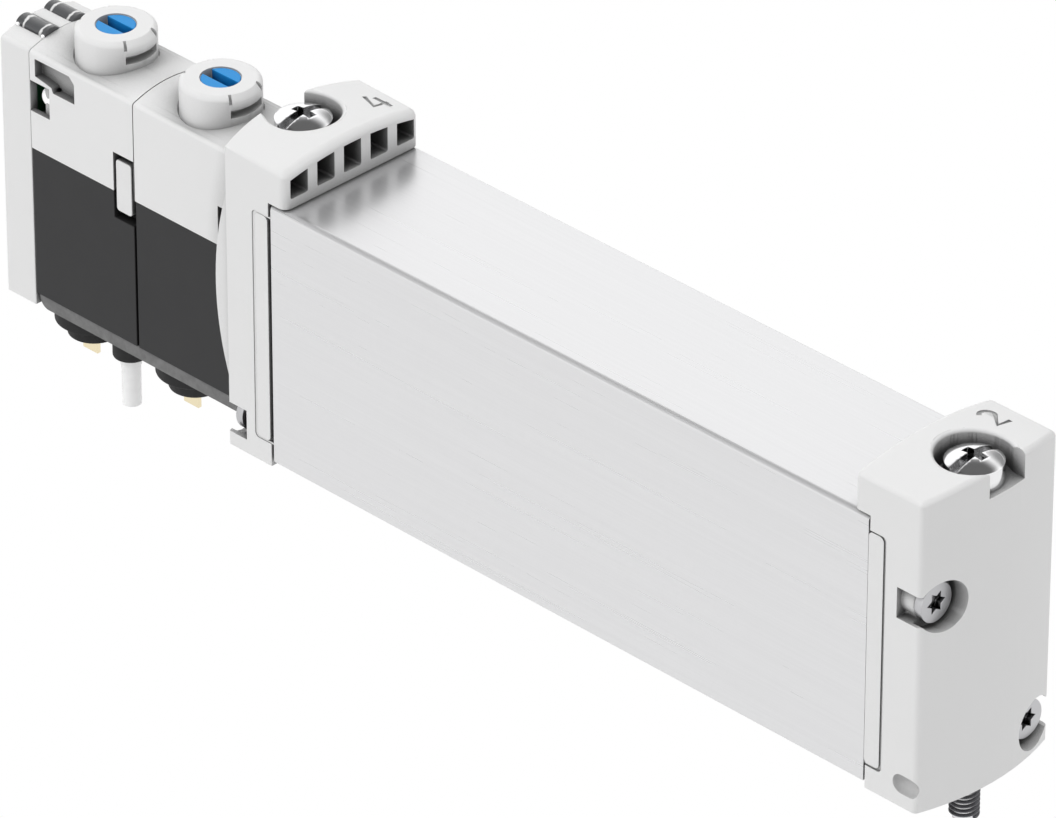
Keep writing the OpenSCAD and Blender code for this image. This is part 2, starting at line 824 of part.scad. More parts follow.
module override_stem(i) {
    color(white) at_axis(i) {
        rod_z(knob_d - 0.2, knob_bottom - flange_t, knob_bottom);
        rod_z(stem_d, stem_tip, knob_bottom);
    }
}

module override_knob(i) {
    top = collar_top - knob_sink;
    color([0.25, 0.62, 0.94]) at_axis(i) difference() {
        rod_z(knob_d, knob_bottom, top);
        translate([-knob_d, -knob_slot / 2, top - 1.7]) cube([2 * knob_d, knob_slot, 2]);
    }
}

module override_spring(i) {
    color(steel) at_axis(i) translate([0, 0, spring_floor])
        coil_spring(override_bore - 0.4, spring_wire, knob_bottom - flange_t - spring_floor, 4);
}

module pilot_end_cover() {
    slot_w = window_bar_w + 2 * fit;
    color(white) translate([cover_x, 0, 0]) difference() {
        along_x(-cover_t, 0) arched(phw, cover_low, pilot_top, pilot_arch, pilot_round);
        translate([-cover_t + cover_wall, -phw + cover_wall, board_low])
            cube([cover_t, pilot_w - 2 * cover_wall, board_high - board_low]);
        for (s = [-1, 1]) translate([-cover_t - cut, s * window_y - slot_w / 2, window_seat])
            cube([cover_t + 2 * cut, slot_w, pilot_top]);
    }
}

module light_window(side) {
    w = window_bar_w / 2;
    r = arc_r(window_dome, w);
    color([0.75, 0.77, 0.8]) translate([cover_x, 0, 0]) along_x(-cover_t, 0)
        translate([side * window_y, 0]) {
            translate([-w, window_seat]) square([2 * w, window_shoulder - window_seat]);
            intersection() {
                translate([-w, window_seat]) square([2 * w, pilot_top]);
                translate([0, window_shoulder + window_dome - r]) circle(r, $fn = 180);
            }
        }
}

module circuit_board() {
    w = pilot_w - 2 * cover_wall - 2 * fit;
    color("darkgreen") translate([cover_x - (cover_t - cover_wall + board_t) / 2, -w / 2, board_low])
        cube([board_t, w, board_high - board_low]);
}

// Strip below the coils, with a round lower edge at its free end
module pilot_base() {
    r = strip_round;
    h = coil_bottom - strip_bottom;
    color("gray") difference() {
        along_y(-phw + 0.2, phw - 0.2) {
            translate([strip_x0 + r, strip_bottom]) square([strip_x1 - strip_x0 - r, h]);
            intersection() {
                translate([strip_x0 + r, strip_bottom + r]) circle(r);
                translate([strip_x0, strip_bottom]) square([r + cut, h]);
            }
            translate([strip_x0, strip_bottom + r]) square([r + cut, h - r]);
        }
        for (i = [pilot_a, pilot_b]) at_blade(i) blade_room(strip_bottom - cut, blade_root + fit);
        at_pin() rod_z(pin_d + 0.1, strip_bottom - cut, coil_bottom - 0.3);
    }
}

module at_seal(i) {
    translate([pilot_x(i) + (i == pilot_a ? seal_a_dx : seal_b_dx), 0, 0]) children();
}

module at_blade(i) {
    at_seal(i) translate([blade_dx, 0, 0]) children();
}

module at_pin() {
    translate([pilot_x(pilot_a) + pin_dx, 0, 0]) children();
}

module blade_room(z0, z1) {
    w = blade_w + 2 * fit;
    t = blade_t + 2 * fit;
    translate([-w / 2, -t / 2, z0]) cube([w, t, z1 - z0]);
}

module contact_seal(i) {
    color(rubber) difference() {
        at_seal(i) {
            rod_z(seal_d, strip_bottom - seal_h, strip_bottom);
            rod_z(boot_d, strip_bottom - seal_h - boot_h, strip_bottom);
        }
        at_blade(i) blade_room(-blade_reach, cut);
        at_pin() rod_z(pin_boot_d + 2 * fit, -blade_reach, cut);
    }
}

module contact(i) {
    color("gold") at_blade(i) translate([-blade_w / 2, -blade_t / 2, -blade_reach])
        cube([blade_w, blade_t, blade_reach + blade_root]);
}

module pin_seal() {
    color(rubber) at_pin() difference() {
        rod_z(pin_boot_d, strip_bottom - pin_boot_h, strip_bottom);
        rod_z(pin_d + 0.1, -pin_reach, cut);
    }
}

module light_pin() {
    color([0.85, 0.87, 0.9]) at_pin() {
        rod_z(pin_d, strip_bottom - pin_boot_h - 1, coil_bottom - 0.4);
        rod_z(pin_d - 0.2, -pin_reach, strip_bottom - pin_boot_h);
    }
}

// Clips that lock each coil casing to its pilot housing
module latch_clips() {
    color(white) for (i = [pilot_a, pilot_b]) at_pilot(i) for (s = [-1, 1])
        scale([1, s, 1]) along_y(phw - clip_depth, phw - fit)
            round_rect(clip_x0 + 0.3, clip_x1 - 0.4, clip_low + 0.9, clip_high - 0.7, 0.4);
}

spool_housing();
body_jacket();
base_gasket();
cap_2();
cap_4();
cap_gasket(1);  // cap_gasket_2
cap_gasket(-1);  // cap_gasket_4
captive_screw(1);  // captive_screw_2
captive_screw(-1);  // captive_screw_4
color(steel) at_end(1) end_screws(cap_2_l, crown_2);  // end_screws_2
color(steel) at_end(-1) end_screws(cap_4_l, crown_4);  // end_screws_4
spool();
piston(1);  // piston_2
piston(-1);  // piston_4
piston_seal(1);  // piston_seal_2
piston_seal(-1);  // piston_seal_4
spacer(1);  // spacer_1
spacer(2);  // spacer_2
spacer(3);  // spacer_3
spacer(4);  // spacer_4
spacer(5);  // spacer_5
spool_seal(1);  // spool_seal_1
spool_seal(2);  // spool_seal_2
spool_seal(3);  // spool_seal_3
spool_seal(4);  // spool_seal_4
spool_seal(5);  // spool_seal_5
spool_seal(6);  // spool_seal_6
pilot_housing(pilot_a);  // pilot_housing_a
coil_casing(pilot_a);  // coil_casing_a
coil_winding(pilot_a);  // coil_winding_a
coil_core(pilot_a);  // coil_core_a
armature(pilot_a);  // armature_a
armature_spring(pilot_a);  // armature_spring_a
override_collar(pilot_a);  // override_collar_a
override_stem(pilot_a);  // override_stem_a
override_knob(pilot_a);  // override_knob_a
override_spring(pilot_a);  // override_spring_a
pilot_housing(pilot_b);  // pilot_housing_b
coil_casing(pilot_b);  // coil_casing_b
coil_winding(pilot_b);  // coil_winding_b
coil_core(pilot_b);  // coil_core_b
armature(pilot_b);  // armature_b
armature_spring(pilot_b);  // armature_spring_b
override_collar(pilot_b);  // override_collar_b
override_stem(pilot_b);  // override_stem_b
override_knob(pilot_b);  // override_knob_b
override_spring(pilot_b);  // override_spring_b
pilot_end_cover();
light_window(-1);  // light_window_a
light_window(1);  // light_window_b
circuit_board();
pilot_base();
contact_seal(pilot_a);  // contact_seal_a
contact_seal(pilot_b);  // contact_seal_b
pin_seal();
contact(pilot_a);  // contact_a
contact(pilot_b);  // contact_b
light_pin();
latch_clips();
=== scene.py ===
"""Studio picture of a slim pneumatic valve: white end caps, brushed jacket and two pilot valves."""

import json
import math

import bpy
from mathutils import Matrix, Vector


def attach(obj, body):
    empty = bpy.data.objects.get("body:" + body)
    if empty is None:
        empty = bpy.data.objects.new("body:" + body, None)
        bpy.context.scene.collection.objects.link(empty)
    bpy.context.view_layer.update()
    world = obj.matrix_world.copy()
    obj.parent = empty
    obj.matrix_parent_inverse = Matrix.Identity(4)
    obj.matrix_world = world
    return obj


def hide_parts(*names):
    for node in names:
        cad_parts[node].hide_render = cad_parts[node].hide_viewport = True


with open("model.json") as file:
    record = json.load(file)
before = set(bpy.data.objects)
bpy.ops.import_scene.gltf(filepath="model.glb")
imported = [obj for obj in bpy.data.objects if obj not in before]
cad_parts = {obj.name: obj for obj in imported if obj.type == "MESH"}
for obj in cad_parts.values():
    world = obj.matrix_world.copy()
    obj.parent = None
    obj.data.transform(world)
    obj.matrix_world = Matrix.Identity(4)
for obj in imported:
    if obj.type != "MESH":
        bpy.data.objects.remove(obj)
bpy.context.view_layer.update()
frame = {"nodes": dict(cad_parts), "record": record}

# Lengths are in mm and angles in degrees, unless a comment says otherwise; the scene itself is in metres
MM = 0.001

# Camera, found from the straight edges of the valve in the photograph; nearest and farthest seen are in m
CAMERA_AZIMUTH = 44.842
CAMERA_ELEVATION = 31.786
CAMERA_ROLL = 0.052
CAMERA_PLACE = Vector((539.403, -555.762, 499.712)) * MM
SENSOR_WIDTH = 36
FOCAL_LENGTH = 330.2
NEAREST_SEEN = 0.05
FARTHEST_SEEN = 20

# Finishes as sRGB colours; a moulded one has its stops from deep in a pocket out to the open, its darker
# stops being painted shade
WHITE_STOPS = ((0.1, "222222"), (0.35, "5E5E5E"), (0.6, "A0A0A0"), (0.82, "CDCDCD"), (0.97, "DFDFDF"))
PILOT_STOPS = ((0.1, "2A2A2A"), (0.35, "5E5E5E"), (0.6, "8E8E8E"), (0.85, "BFBFBF"), (0.98, "E1E1E1"))
COLLAR_STOPS = ((0.1, "8A8A8A"), (0.4, "A6A6A6"), (0.7, "B4B4B4"), (0.95, "DFDFDF"))
POST_STOPS = ((0.0, "C4C4C4"), (0.4, "EEEEEE"))
COIL_STOPS = ((0.1, "050505"), (0.45, "1A1A1A"), (0.8, "2B2B2C"))
BLUE_STOPS = ((0.15, "033A66"), (0.5, "0A68AC"), (0.85, "1F8CD2"))
BOARD_STOPS = ((0.45, "020403"), (0.9, "1F5A36"))
JACKET_METAL = "E0E0E1"
BLACK_RUBBER = "131314"
BRIGHT_NICKEL = "F0F0F1"
PLAIN_STEEL = "C6C6C8"
# The thread belongs to a screw with a bright head; its darker grey is painted shade
THREAD_STEEL_PAINTED_DARK = "707073"
GOLD_PLATE = "F3E6C4"
COPPER_WIRE = "B9703E"
SPOOL_METAL = "C8C9CC"
CORE_METAL = "A4A4A8"
SPRING_METAL = "B4B4B8"
STRIP_GREY = "6A6A6A"
# The light windows are clear; their grey is painted, standing in for the dark inside seen through them
GUIDE_PAINTED_GREY = "5A5B5D"
PIN_PLASTIC = "FAFAFA"
PURE_WHITE = "FFFFFF"
FLOOR_PAPER = "F2F2F2"

# Radius that breaks the sharp edges of each CAD node in view
EDGE_RADIUS = {
    "cap_2": 0.12, "cap_4": 0.1, "spool_housing": 0.1, "body_jacket": 0.06, "pilot_end_cover": 0.12,
    "pilot_housing_a": 0.07, "pilot_housing_b": 0.07, "coil_casing_a": 0.08, "coil_casing_b": 0.08,
    "override_collar_a": 0.08, "override_collar_b": 0.08, "override_knob_a": 0.08,
    "override_knob_b": 0.08, "captive_screw_2": 0.07, "captive_screw_4": 0.07, "latch_clips": 0.1,
    "contact_seal_a": 0.2, "contact_seal_b": 0.2, "pin_seal": 0.2, "end_screws_2": 0.05,
    "end_screws_4": 0.05, "contact_a": 0.03, "contact_b": 0.03, "light_pin": 0.12, "pilot_base": 0.05,
    "light_window_a": 0.08, "light_window_b": 0.08,
}
EDGE_SEGMENTS = 2
# Angles between faces: below the first they are one plane, below the second one curve, above the third
# an edge to be broken
FLAT_BELOW = 0.4
SMOOTH_BELOW = 35
SHARP_ABOVE = 40

# Engraved port digits on the arched tops of the caps: x and y of their strokes
DIGIT_WIDTH = 0.5
DIGIT_TWO = [[(39.9 - 0.73 * math.sin(math.radians(t)), 5.88 - 0.8 * math.cos(math.radians(t)))
              for t in range(28, 212, 15)] + [(41.93, 5.05), (41.93, 6.85)]]
DIGIT_FOUR = [[(-42.0, 6.45), (-39.8, 5.6), (-39.8, 7.5)], [(-41.3, 7.12), (-38.95, 7.12)]]

# Rounded rim of the counterbores: where the cut starts, its radius and its steps, how far the cutter laps
# into the bore and stands above the top, and an x beside the bore where the arched top is whole
RIM_CUT = 3.73
RIM_ROUND = 0.45
RIM_STEPS = 6
RIM_LAP = 0.15
RIM_ABOVE = 0.6
RIM_SAMPLE_X = 38.85
# Height from which plumb lines find the arched top
ABOVE_ALL = 40

# Captive screws: below THREAD_TOP the solid's plain cylinder, of radius THREAD_BLANK, is turned down to
# the root; the ridge's profile, pairs of radius and height, sinks a little into it
SCREW_X = 43.75
THREAD_BLANK = 1.5
THREAD_TOP = 0.2
THREAD_PITCH = 0.5
THREAD_ROOT = 1.22
THREAD_CREST = 1.47
THREAD_PROFILE = ((THREAD_ROOT - 0.04, 0.0), (THREAD_CREST, 0.17), (THREAD_CREST, 0.25),
                  (THREAD_ROOT - 0.04, 0.42))
THREAD_LOW = -5.2
THREAD_TURNS = 10
THREAD_SMOOTH_BELOW = 30

# Wiring recess in the front of the outer pilot: its reach in x and z, the y behind which nothing is
# painted, the y where its shadow begins and the depth over which the shadow grows
RECESS_X = (-76.63, -70.9)
RECESS_Z = (25.9, 28.9)
RECESS_BACK = -3.9
RECESS_MOUTH = -4.9
RECESS_FADE = 0.8

# Head of the post: a ball, cut flat below, stretched and put in its place
POST_RADIUS = 1.12
POST_FLAT = -0.95
POST_STRETCH = (1.25, 0.68, 1)
POST_PLACE = (-75.5, -3.66, 24.3)

# Boss in the notch of cap 2: a short pipe along the valve, cut flat above, below and behind
BOSS_RADIUS = 1.9
BOSS_LENGTH = 1.72
BOSS_WALL = 0.62
BOSS_HALF_HEIGHT = 1.62
BOSS_BACK = 0.05
BOSS_EDGE = 0.06
BOSS_PLACE = (43.54, -6.5, 21.9)

# Lips round the end plates' tabs, which begin at the jacket's end: how far a lip starts from there and
# reaches past the tab, its heights and the y of its hidden side; the tab's cutter, its play and corners
JACKET_END = 39.15
LIP_START = 0.03
LIP_REACH = 0.34
LIP_Z = (2.51, 28.09)
LIP_BACK = -8.62
TAB_Y = (-9.5, -8)
TAB_Z = (2.69, 27.91)
TAB_CLEAR = 0.01
TAB_CORNER = 0.5

# Feet of the light windows
FOOT_SIZE = 0.34
FOOT_EDGE = 0.09
FOOT_PLACES = [(x, y, 30.12) for y in (-2.88, 0.82) for x in (-81.2, -77.6)]

# Floor, in m
FLOOR_SIZE = 8
FLOOR_HEIGHT = -0.16

# Surround: the strength of its soft light, and for mirroring metal that of a white tent with a dark
# opening overhead, which begins and is full where the upward part of a direction has these values
ROOM_LIGHT = 0.72
TENT_LIGHT = 1.28
OVERHEAD_DARK = 0.14
OVERHEAD_BEGIN = 0.6
OVERHEAD_FULL = 0.88
# Dark patches of the tent, one toward the fold between the jacket's top and side and one behind: the way
# they lie, the cosine where they begin, the one where they are full, what is left
PATCHES = (
    (Vector((-0.6, -0.53, 0.6)).normalized(), 0.8, 0.95, 0.35),
    (Vector((-0.1, 0.97, 0.22)).normalized(), 0.84, 0.96, 0.25),
)


def linear(hex_colour):
    """The linear RGBA of an sRGB hex colour."""
    values = [int(hex_colour[i:i + 2], 16) / 255 for i in (0, 2, 4)]
    return [v / 12.92 if v <= 0.04045 else ((v + 0.055) / 1.055) ** 2.4 for v in values] + [1]


def put(tree, kind, sockets=None, **settings):
    """Adds a shader node with its settings; a socket takes a value or another node's output."""
    node = tree.nodes.new("ShaderNode" + kind)
    for name, value in settings.items():
        setattr(node, name, value)
    for name, value in (sockets or {}).items():
        if isinstance(value, bpy.types.NodeSocket):
            tree.links.new(value, node.inputs[name])
        else:
            node.inputs[name].default_value = value
    return node


def blank_material(name):
    """An empty material and its node tree."""
    material = bpy.data.materials.new(name)
    material.use_nodes = True
    material.node_tree.nodes.clear()
    return material, material.node_tree


def set_stops(ramp, stops):
    """Gives a colour ramp its stops, as pairs of position and sRGB hex colour."""
    elements = ramp.color_ramp.elements
    while len(elements) < len(stops):
        elements.new(0.5)
    # All places come first, because the ramp sorts its stops by them
    for element, (position, _) in zip(elements, stops):
        element.position = position
    for element, (_, colour) in zip(elements, stops):
        element.color = linear(colour)


def moulded_plastic(name, stops, roughness, reach_mm, mottle=0.985, seam_glow=0.0, glow=0.0,
                    specular=0.5):
    """Injection-moulded plastic with a satin skin from the spark-eroded mould, painted shade in its
    hollows and a painted glow.
    """
    material, tree = blank_material(name)
    place = put(tree, "TexCoord").outputs["Object"]
    # Painted shade: where the surroundings close in, the colour darkens into dark seams, slots and
    # pockets
    room = put(tree, "AmbientOcclusion", {"Distance": reach_mm * MM}, samples=4).outputs["AO"]
    ramp = put(tree, "ValToRGB", {"Fac": room})
    set_stops(ramp, stops)
    # Painted glow: a hairline seam glows grey and not black, standing in for light let through white
    # plastic; glow adds the same glow everywhere
    near = put(tree, "AmbientOcclusion", {"Distance": 0.35 * MM}, samples=4).outputs["AO"]
    lit = put(tree, "MapRange", {"Value": near, "From Min": 0.05, "From Max": 0.35,
                                 "To Min": glow + seam_glow, "To Max": glow}).outputs["Result"]
    # Painted shadow in the wiring recess, darkening towards its back
    deep = put(tree, "Attribute", attribute_name="recess_depth").outputs["Fac"]
    shadow = put(tree, "MapRange", {"Value": deep, "To Min": 1.0, "To Max": 0.75}).outputs["Result"]
    # Faint clouds of a few millimetres keep a wide face from looking computed
    cloud = put(tree, "TexNoise", {"Vector": place, "Scale": 1 / (5 * MM),
                                   "Detail": 3.0}).outputs["Fac"]
    level = put(tree, "MapRange", {"Value": cloud, "To Min": mottle, "To Max": 1.0}).outputs["Result"]
    level = put(tree, "Math", {0: level, 1: shadow}, operation="MULTIPLY").outputs["Value"]
    base = put(tree, "VectorMath", {0: ramp.outputs["Color"], "Scale": level}, operation="SCALE")
    gloss = put(tree, "MapRange", {"Value": cloud, "To Min": roughness + 0.03,
                                   "To Max": roughness - 0.03})
    # The mould's grain, drawn a little coarse so that it shows
    skin = put(tree, "TexNoise", {"Vector": place, "Scale": 1 / (0.22 * MM),
                                  "Detail": 2.0}).outputs["Fac"]
    relief = put(tree, "Bump", {"Height": skin, "Distance": 0.004 * MM, "Strength": 0.5})
    shader = put(tree, "BsdfPrincipled", {
        "Base Color": base.outputs["Vector"], "Roughness": gloss.outputs["Result"],
        "Normal": relief.outputs["Normal"], "IOR": 1.5, "Specular IOR Level": specular,
        "Emission Color": linear(PURE_WHITE), "Emission Strength": lit})
    put(tree, "OutputMaterial", {"Surface": shader.outputs["BSDF"]})
    return material


def brushed_sheet():
    """Stainless sheet brushed along the valve: long fine scratches that soften what it mirrors."""
    material, tree = blank_material("brushed_stainless_sheet")
    place = put(tree, "TexCoord").outputs["Object"]
    # Long streaks, a third of a millimetre across so that they show at this distance
    along = put(tree, "Mapping", {"Vector": place,
                                  "Scale": (1 / (45 * MM), 1 / (0.35 * MM), 1 / (0.35 * MM))})
    streak = put(tree, "TexNoise", {"Vector": along.outputs["Vector"], "Scale": 1.0, "Detail": 4.0,
                                    "Roughness": 0.65}).outputs["Fac"]
    # Single scratches, shorter and finer
    scratch = put(tree, "Mapping", {"Vector": place,
                                    "Scale": (1 / (12 * MM), 1 / (0.1 * MM), 1 / (0.1 * MM))})
    hair = put(tree, "TexNoise", {"Vector": scratch.outputs["Vector"], "Scale": 1.0,
                                  "Detail": 2.0}).outputs["Fac"]
    tone = put(tree, "MapRange", {"Value": streak, "From Min": 0.3, "From Max": 0.7,
                                  "To Min": 0.955, "To Max": 1.0}).outputs["Result"]
    # Painted shade: the metal's colour darkens only close to what stands on it
    room = put(tree, "AmbientOcclusion", {"Distance": 1.6 * MM}, samples=4).outputs["AO"]
    shadow = put(tree, "MapRange", {"Value": room, "From Min": 0.25, "From Max": 0.85,
                                    "To Min": 0.5, "To Max": 1.0}).outputs["Result"]
    level = put(tree, "Math", {0: tone, 1: shadow}, operation="MULTIPLY").outputs["Value"]
    base = put(tree, "VectorMath", {0: linear(JACKET_METAL)[:3], "Scale": level}, operation="SCALE")
    gloss = put(tree, "MapRange", {"Value": streak, "To Min": 0.25, "To Max": 0.32})
    relief = put(tree, "Bump", {"Height": hair, "Distance": 0.003 * MM, "Strength": 0.12})
    brush = put(tree, "Tangent", direction_type="RADIAL", axis="X")
    # The scratches scatter a third of the light as a dull face would, so what stands on it mirrors pale
    shader = put(tree, "BsdfPrincipled", {
        "Base Color": base.outputs["Vector"], "Metallic": 0.66, "Roughness": gloss.outputs["Result"],
        "Normal": relief.outputs["Normal"], "Anisotropic": 0.25, "Tangent": brush.outputs["Tangent"]})
    put(tree, "OutputMaterial", {"Surface": shader.outputs["BSDF"]})
    return material


def metal(name, colour, roughness, reach_mm=1.0, deepest=0.1, shut_at=0.4, open_from=0.8):
    """Turned, drawn or plated metal with the pores and clouds of its finish, and painted shade down in
    its slots.
    """
    material, tree = blank_material(name)
    place = put(tree, "TexCoord").outputs["Object"]
    cloud = put(tree, "TexNoise", {"Vector": place, "Scale": 1 / (1.5 * MM),
                                   "Detail": 3.0}).outputs["Fac"]
    tone = put(tree, "MapRange", {"Value": cloud, "To Min": 0.94, "To Max": 1.0}).outputs["Result"]
    room = put(tree, "AmbientOcclusion", {"Distance": reach_mm * MM}, samples=3).outputs["AO"]
    shadow = put(tree, "MapRange", {"Value": room, "From Min": shut_at, "From Max": open_from,
                                    "To Min": deepest, "To Max": 1.0}).outputs["Result"]
    level = put(tree, "Math", {0: tone, 1: shadow}, operation="MULTIPLY").outputs["Value"]
    base = put(tree, "VectorMath", {0: linear(colour)[:3], "Scale": level}, operation="SCALE")
    pores = put(tree, "TexNoise", {"Vector": place, "Scale": 1 / (0.09 * MM),
                                   "Detail": 3.0}).outputs["Fac"]
    gloss = put(tree, "MapRange", {"Value": pores, "To Min": roughness * 0.85,
                                   "To Max": roughness * 1.15})
    relief = put(tree, "Bump", {"Height": pores, "Distance": 0.0008 * MM, "Strength": 0.4})
    shader = put(tree, "BsdfPrincipled", {
        "Base Color": base.outputs["Vector"], "Metallic": 1.0, "Roughness": gloss.outputs["Result"],
        "Normal": relief.outputs["Normal"]})
    put(tree, "OutputMaterial", {"Surface": shader.outputs["BSDF"]})
    return material


def moulded_rubber():
    """Nitrile rubber: near black and dull with a dusty mottle, and painted shade that makes it blackest
    where it meets the strip.
    """
    material, tree = blank_material("moulded_nitrile_rubber")
    place = put(tree, "TexCoord").outputs["Object"]
    dust = put(tree, "TexNoise", {"Vector": place, "Scale": 1 / (0.6 * MM),
                                  "Detail": 3.0}).outputs["Fac"]
    tone = put(tree, "MapRange", {"Value": dust, "To Min": 0.75, "To Max": 1.15}).outputs["Result"]
    room = put(tree, "AmbientOcclusion", {"Distance": 1.5 * MM}, samples=3).outputs["AO"]
    shadow = put(tree, "MapRange", {"Value": room, "From Min": 0.3, "From Max": 0.9,
                                    "To Min": 0.1, "To Max": 1.0}).outputs["Result"]
    level = put(tree, "Math", {0: tone, 1: shadow}, operation="MULTIPLY").outputs["Value"]
    base = put(tree, "VectorMath", {0: linear(BLACK_RUBBER)[:3], "Scale": level}, operation="SCALE")
    gloss = put(tree, "MapRange", {"Value": dust, "To Min": 0.6, "To Max": 0.8})
    pits = put(tree, "TexNoise", {"Vector": place, "Scale": 1 / (0.1 * MM),
                                  "Detail": 3.0}).outputs["Fac"]
    relief = put(tree, "Bump", {"Height": pits, "Distance": 0.01 * MM, "Strength": 0.6})
    shader = put(tree, "BsdfPrincipled", {
        "Base Color": base.outputs["Vector"], "Roughness": gloss.outputs["Result"],
        "Normal": relief.outputs["Normal"], "IOR": 1.5})
    put(tree, "OutputMaterial", {"Surface": shader.outputs["BSDF"]})
    return material


def speckled_strip():
    """Grey laminate strip with soft light and dark blotches."""
    material, tree = blank_material("speckled_laminate_strip")
    place = put(tree, "TexCoord").outputs["Object"]
    blotch = put(tree, "TexNoise", {"Vector": place, "Scale": 1 / (0.9 * MM), "Detail": 5.0,
                                    "Roughness": 0.6}).outputs["Fac"]
    tone = put(tree, "MapRange", {"Value": blotch, "From Min": 0.3, "From Max": 0.7,
                                  "To Min": 0.78, "To Max": 1.25}).outputs["Result"]
    base = put(tree, "VectorMath", {0: linear(STRIP_GREY)[:3], "Scale": tone}, operation="SCALE")
    relief = put(tree, "Bump", {"Height": blotch, "Distance": 0.01 * MM, "Strength": 0.5})
    gloss = put(tree, "MapRange", {"Value": blotch, "To Min": 0.5, "To Max": 0.7})
    shader = put(tree, "BsdfPrincipled", {
        "Base Color": base.outputs["Vector"], "Roughness": gloss.outputs["Result"],
        "Normal": relief.outputs["Normal"], "IOR": 1.5})
    put(tree, "OutputMaterial", {"Surface": shader.outputs["BSDF"]})
    return material


def clear_plastic(name, colour, transmission, painted_glints_mm=()):
    """Polycarbonate light guide: glossy and partly clear, with faint flow clouds inside and, where given,
    painted glints.
    """
    material, tree = blank_material(name)
    place = put(tree, "TexCoord").outputs["Object"]
    flow = put(tree, "TexNoise", {"Vector": place, "Scale": 1 / (0.8 * MM),
                                  "Detail": 2.0}).outputs["Fac"]
    tone = put(tree, "MapRange", {"Value": flow, "To Min": 0.92, "To Max": 1.04}).outputs["Result"]
    base = put(tree, "VectorMath", {0: linear(colour)[:3], "Scale": tone}, operation="SCALE")
    base = base.outputs["Vector"]
    # Painted highlights: narrow white glints across the guide, standing in for light thrown by facets
    # inside it, a little crooked by the flow
    x = put(tree, "SeparateXYZ", {0: place}).outputs["X"]
    crooked = put(tree, "MapRange", {"Value": flow, "To Min": -0.25 * MM, "To Max": 0.25 * MM})
    x = put(tree, "Math", {0: x, 1: crooked.outputs["Result"]}, operation="ADD").outputs["Value"]
    for centre, reach in painted_glints_mm:
        off = put(tree, "Math", {0: x, 1: centre * MM}, operation="SUBTRACT").outputs["Value"]
        off = put(tree, "Math", {0: off}, operation="ABSOLUTE").outputs["Value"]
        painted_glint = put(tree, "MapRange", {"Value": off, "From Min": reach * 0.4 * MM, "From Max": reach * MM,
                                       "To Min": 1.0, "To Max": 0.0}).outputs["Result"]
        painted_glint = put(tree, "VectorMath", {0: (0.95, 0.95, 0.95), "Scale": painted_glint}, operation="SCALE")
        base = put(tree, "VectorMath", {0: base, 1: painted_glint.outputs["Vector"]}, operation="MAXIMUM")
        base = base.outputs["Vector"]
    gloss = put(tree, "MapRange", {"Value": flow, "To Min": 0.04, "To Max": 0.1})
    relief = put(tree, "Bump", {"Height": flow, "Distance": 0.003 * MM, "Strength": 0.4})
    shader = put(tree, "BsdfPrincipled", {
        "Base Color": base, "Roughness": gloss.outputs["Result"],
        "Normal": relief.outputs["Normal"], "IOR": 1.585, "Transmission Weight": transmission})
    put(tree, "OutputMaterial", {"Surface": shader.outputs["BSDF"]})
    return material


MATERIALS = {
    "white_plastic": moulded_plastic("moulded_white_polyamide", WHITE_STOPS, 0.46, 3.4, seam_glow=0.2),
    "jacket_metal": brushed_sheet(),
    "black_rubber": moulded_rubber(),
    "plated_steel": metal("bright_nickel_plate", BRIGHT_NICKEL, 0.12),
    "spool_aluminium": metal("ground_aluminium", SPOOL_METAL, 0.3),
    "coil_plastic": moulded_plastic("moulded_dark_polyester", COIL_STOPS, 0.55, 1.2, mottle=0.95,
                                    specular=0.3),
    "copper_wire": metal("enamelled_copper_wire", COPPER_WIRE, 0.35),
    "magnet_steel": metal("turned_magnet_steel", CORE_METAL, 0.35),
    "spring_steel": metal("drawn_spring_wire", SPRING_METAL, 0.25),
    "blue_plastic": moulded_plastic("moulded_blue_acetal", BLUE_STOPS, 0.42, 1.5, mottle=0.96,
                                    specular=0.3),
    # Clear light guides, painted grey and with painted glints
    "clear_plastic": clear_plastic("clear_polycarbonate_painted_grey", GUIDE_PAINTED_GREY, 0.3,
                                   painted_glints_mm=((-80.5, 0.22), (-78.05, 0.2))),
    "gold_contact": metal("gold_plated_bronze", GOLD_PLATE, 0.3, reach_mm=0.5),
    "board": moulded_plastic("solder_masked_board", BOARD_STOPS, 0.4, 1.0, mottle=0.9),
    "grey_strip": speckled_strip(),
}
# Finishes that only single pieces of a slot have; some are lit and shaded copies of their slot's finish,
# with painted shade and glow of their own
PIN_FINISH = clear_plastic("frosted_polycarbonate", PIN_PLASTIC, 0.05)
END_SCREW_FINISH = metal("zinc_plated_steel", PLAIN_STEEL, 0.36, reach_mm=0.7, deepest=0.03,
                         shut_at=0.68, open_from=0.95)
THREAD_FINISH = metal("rolled_thread_steel_painted_dark", THREAD_STEEL_PAINTED_DARK, 0.5, reach_mm=0.25, deepest=0.35)
# The collar: white plastic with lighter painted shade in its slots and a stronger painted glow in its
# seams
COLLAR_FINISH = moulded_plastic("moulded_white_collar_painted_light", COLLAR_STOPS, 0.42, 3.4, seam_glow=0.5)
# The post head and window feet: white plastic with a painted glow all over
POST_GLOW_FINISH = moulded_plastic("moulded_white_post_painted_glow", POST_STOPS, 0.4, 1.0, glow=0.3)
# The pilot covers: white plastic whose painted shade reaches farther, round the collars
PILOT_FINISH = moulded_plastic("moulded_white_pilot_cover_painted_shade", PILOT_STOPS, 0.46, 5.0, seam_glow=0.2)
NODE_FINISH = {
    "pilot_housing_a": PILOT_FINISH, "pilot_housing_b": PILOT_FINISH,
    "light_pin": PIN_FINISH, "end_screws_2": END_SCREW_FINISH, "end_screws_4": END_SCREW_FINISH,
    "override_collar_a": COLLAR_FINISH, "override_collar_b": COLLAR_FINISH,
}


